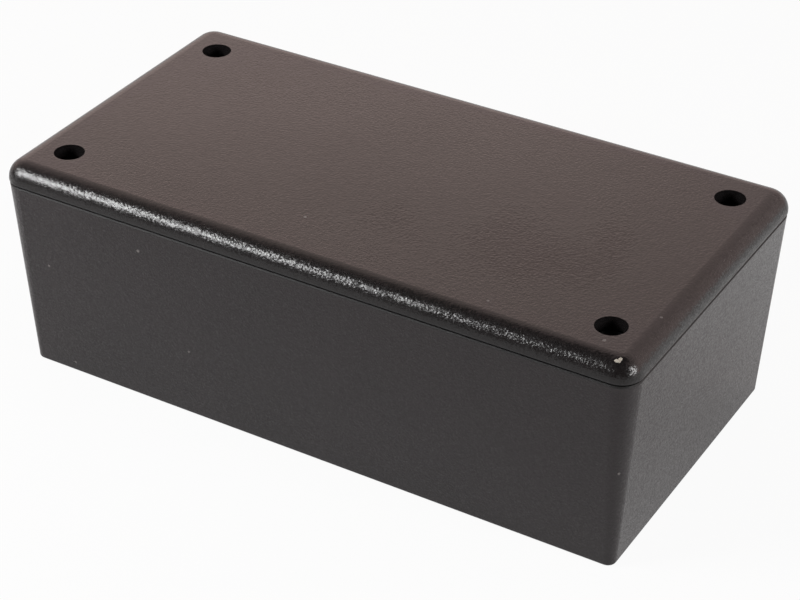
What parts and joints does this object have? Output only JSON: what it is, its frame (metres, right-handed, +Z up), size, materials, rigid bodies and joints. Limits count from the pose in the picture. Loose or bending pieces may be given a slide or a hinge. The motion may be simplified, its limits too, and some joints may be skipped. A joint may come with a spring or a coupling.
{
  "type": "plastic project box",
  "caption": "Black moulded plastic project box with a tapered tub and a round-edged lid held by recessed corner screws.",
  "frame": {"origin": "centre of the underside", "axes": "+X along the length, +Y across the width, +Z up from the underside to the lid"},
  "size_m": [0.13, 0.068, 0.044],
  "materials": {
    "base_plastic": "fine satin texture",
    "lid_plastic": "fine satin texture",
    "screw_steel": "black oxide",
    "insert_brass": "turned and knurled"
  },
  "bodies": {
    "root": {"box_base": "base_plastic", "lid": "lid_plastic", "lid_screws": "screw_steel", "threaded_inserts": "insert_brass"}
  },
  "joints": []
}
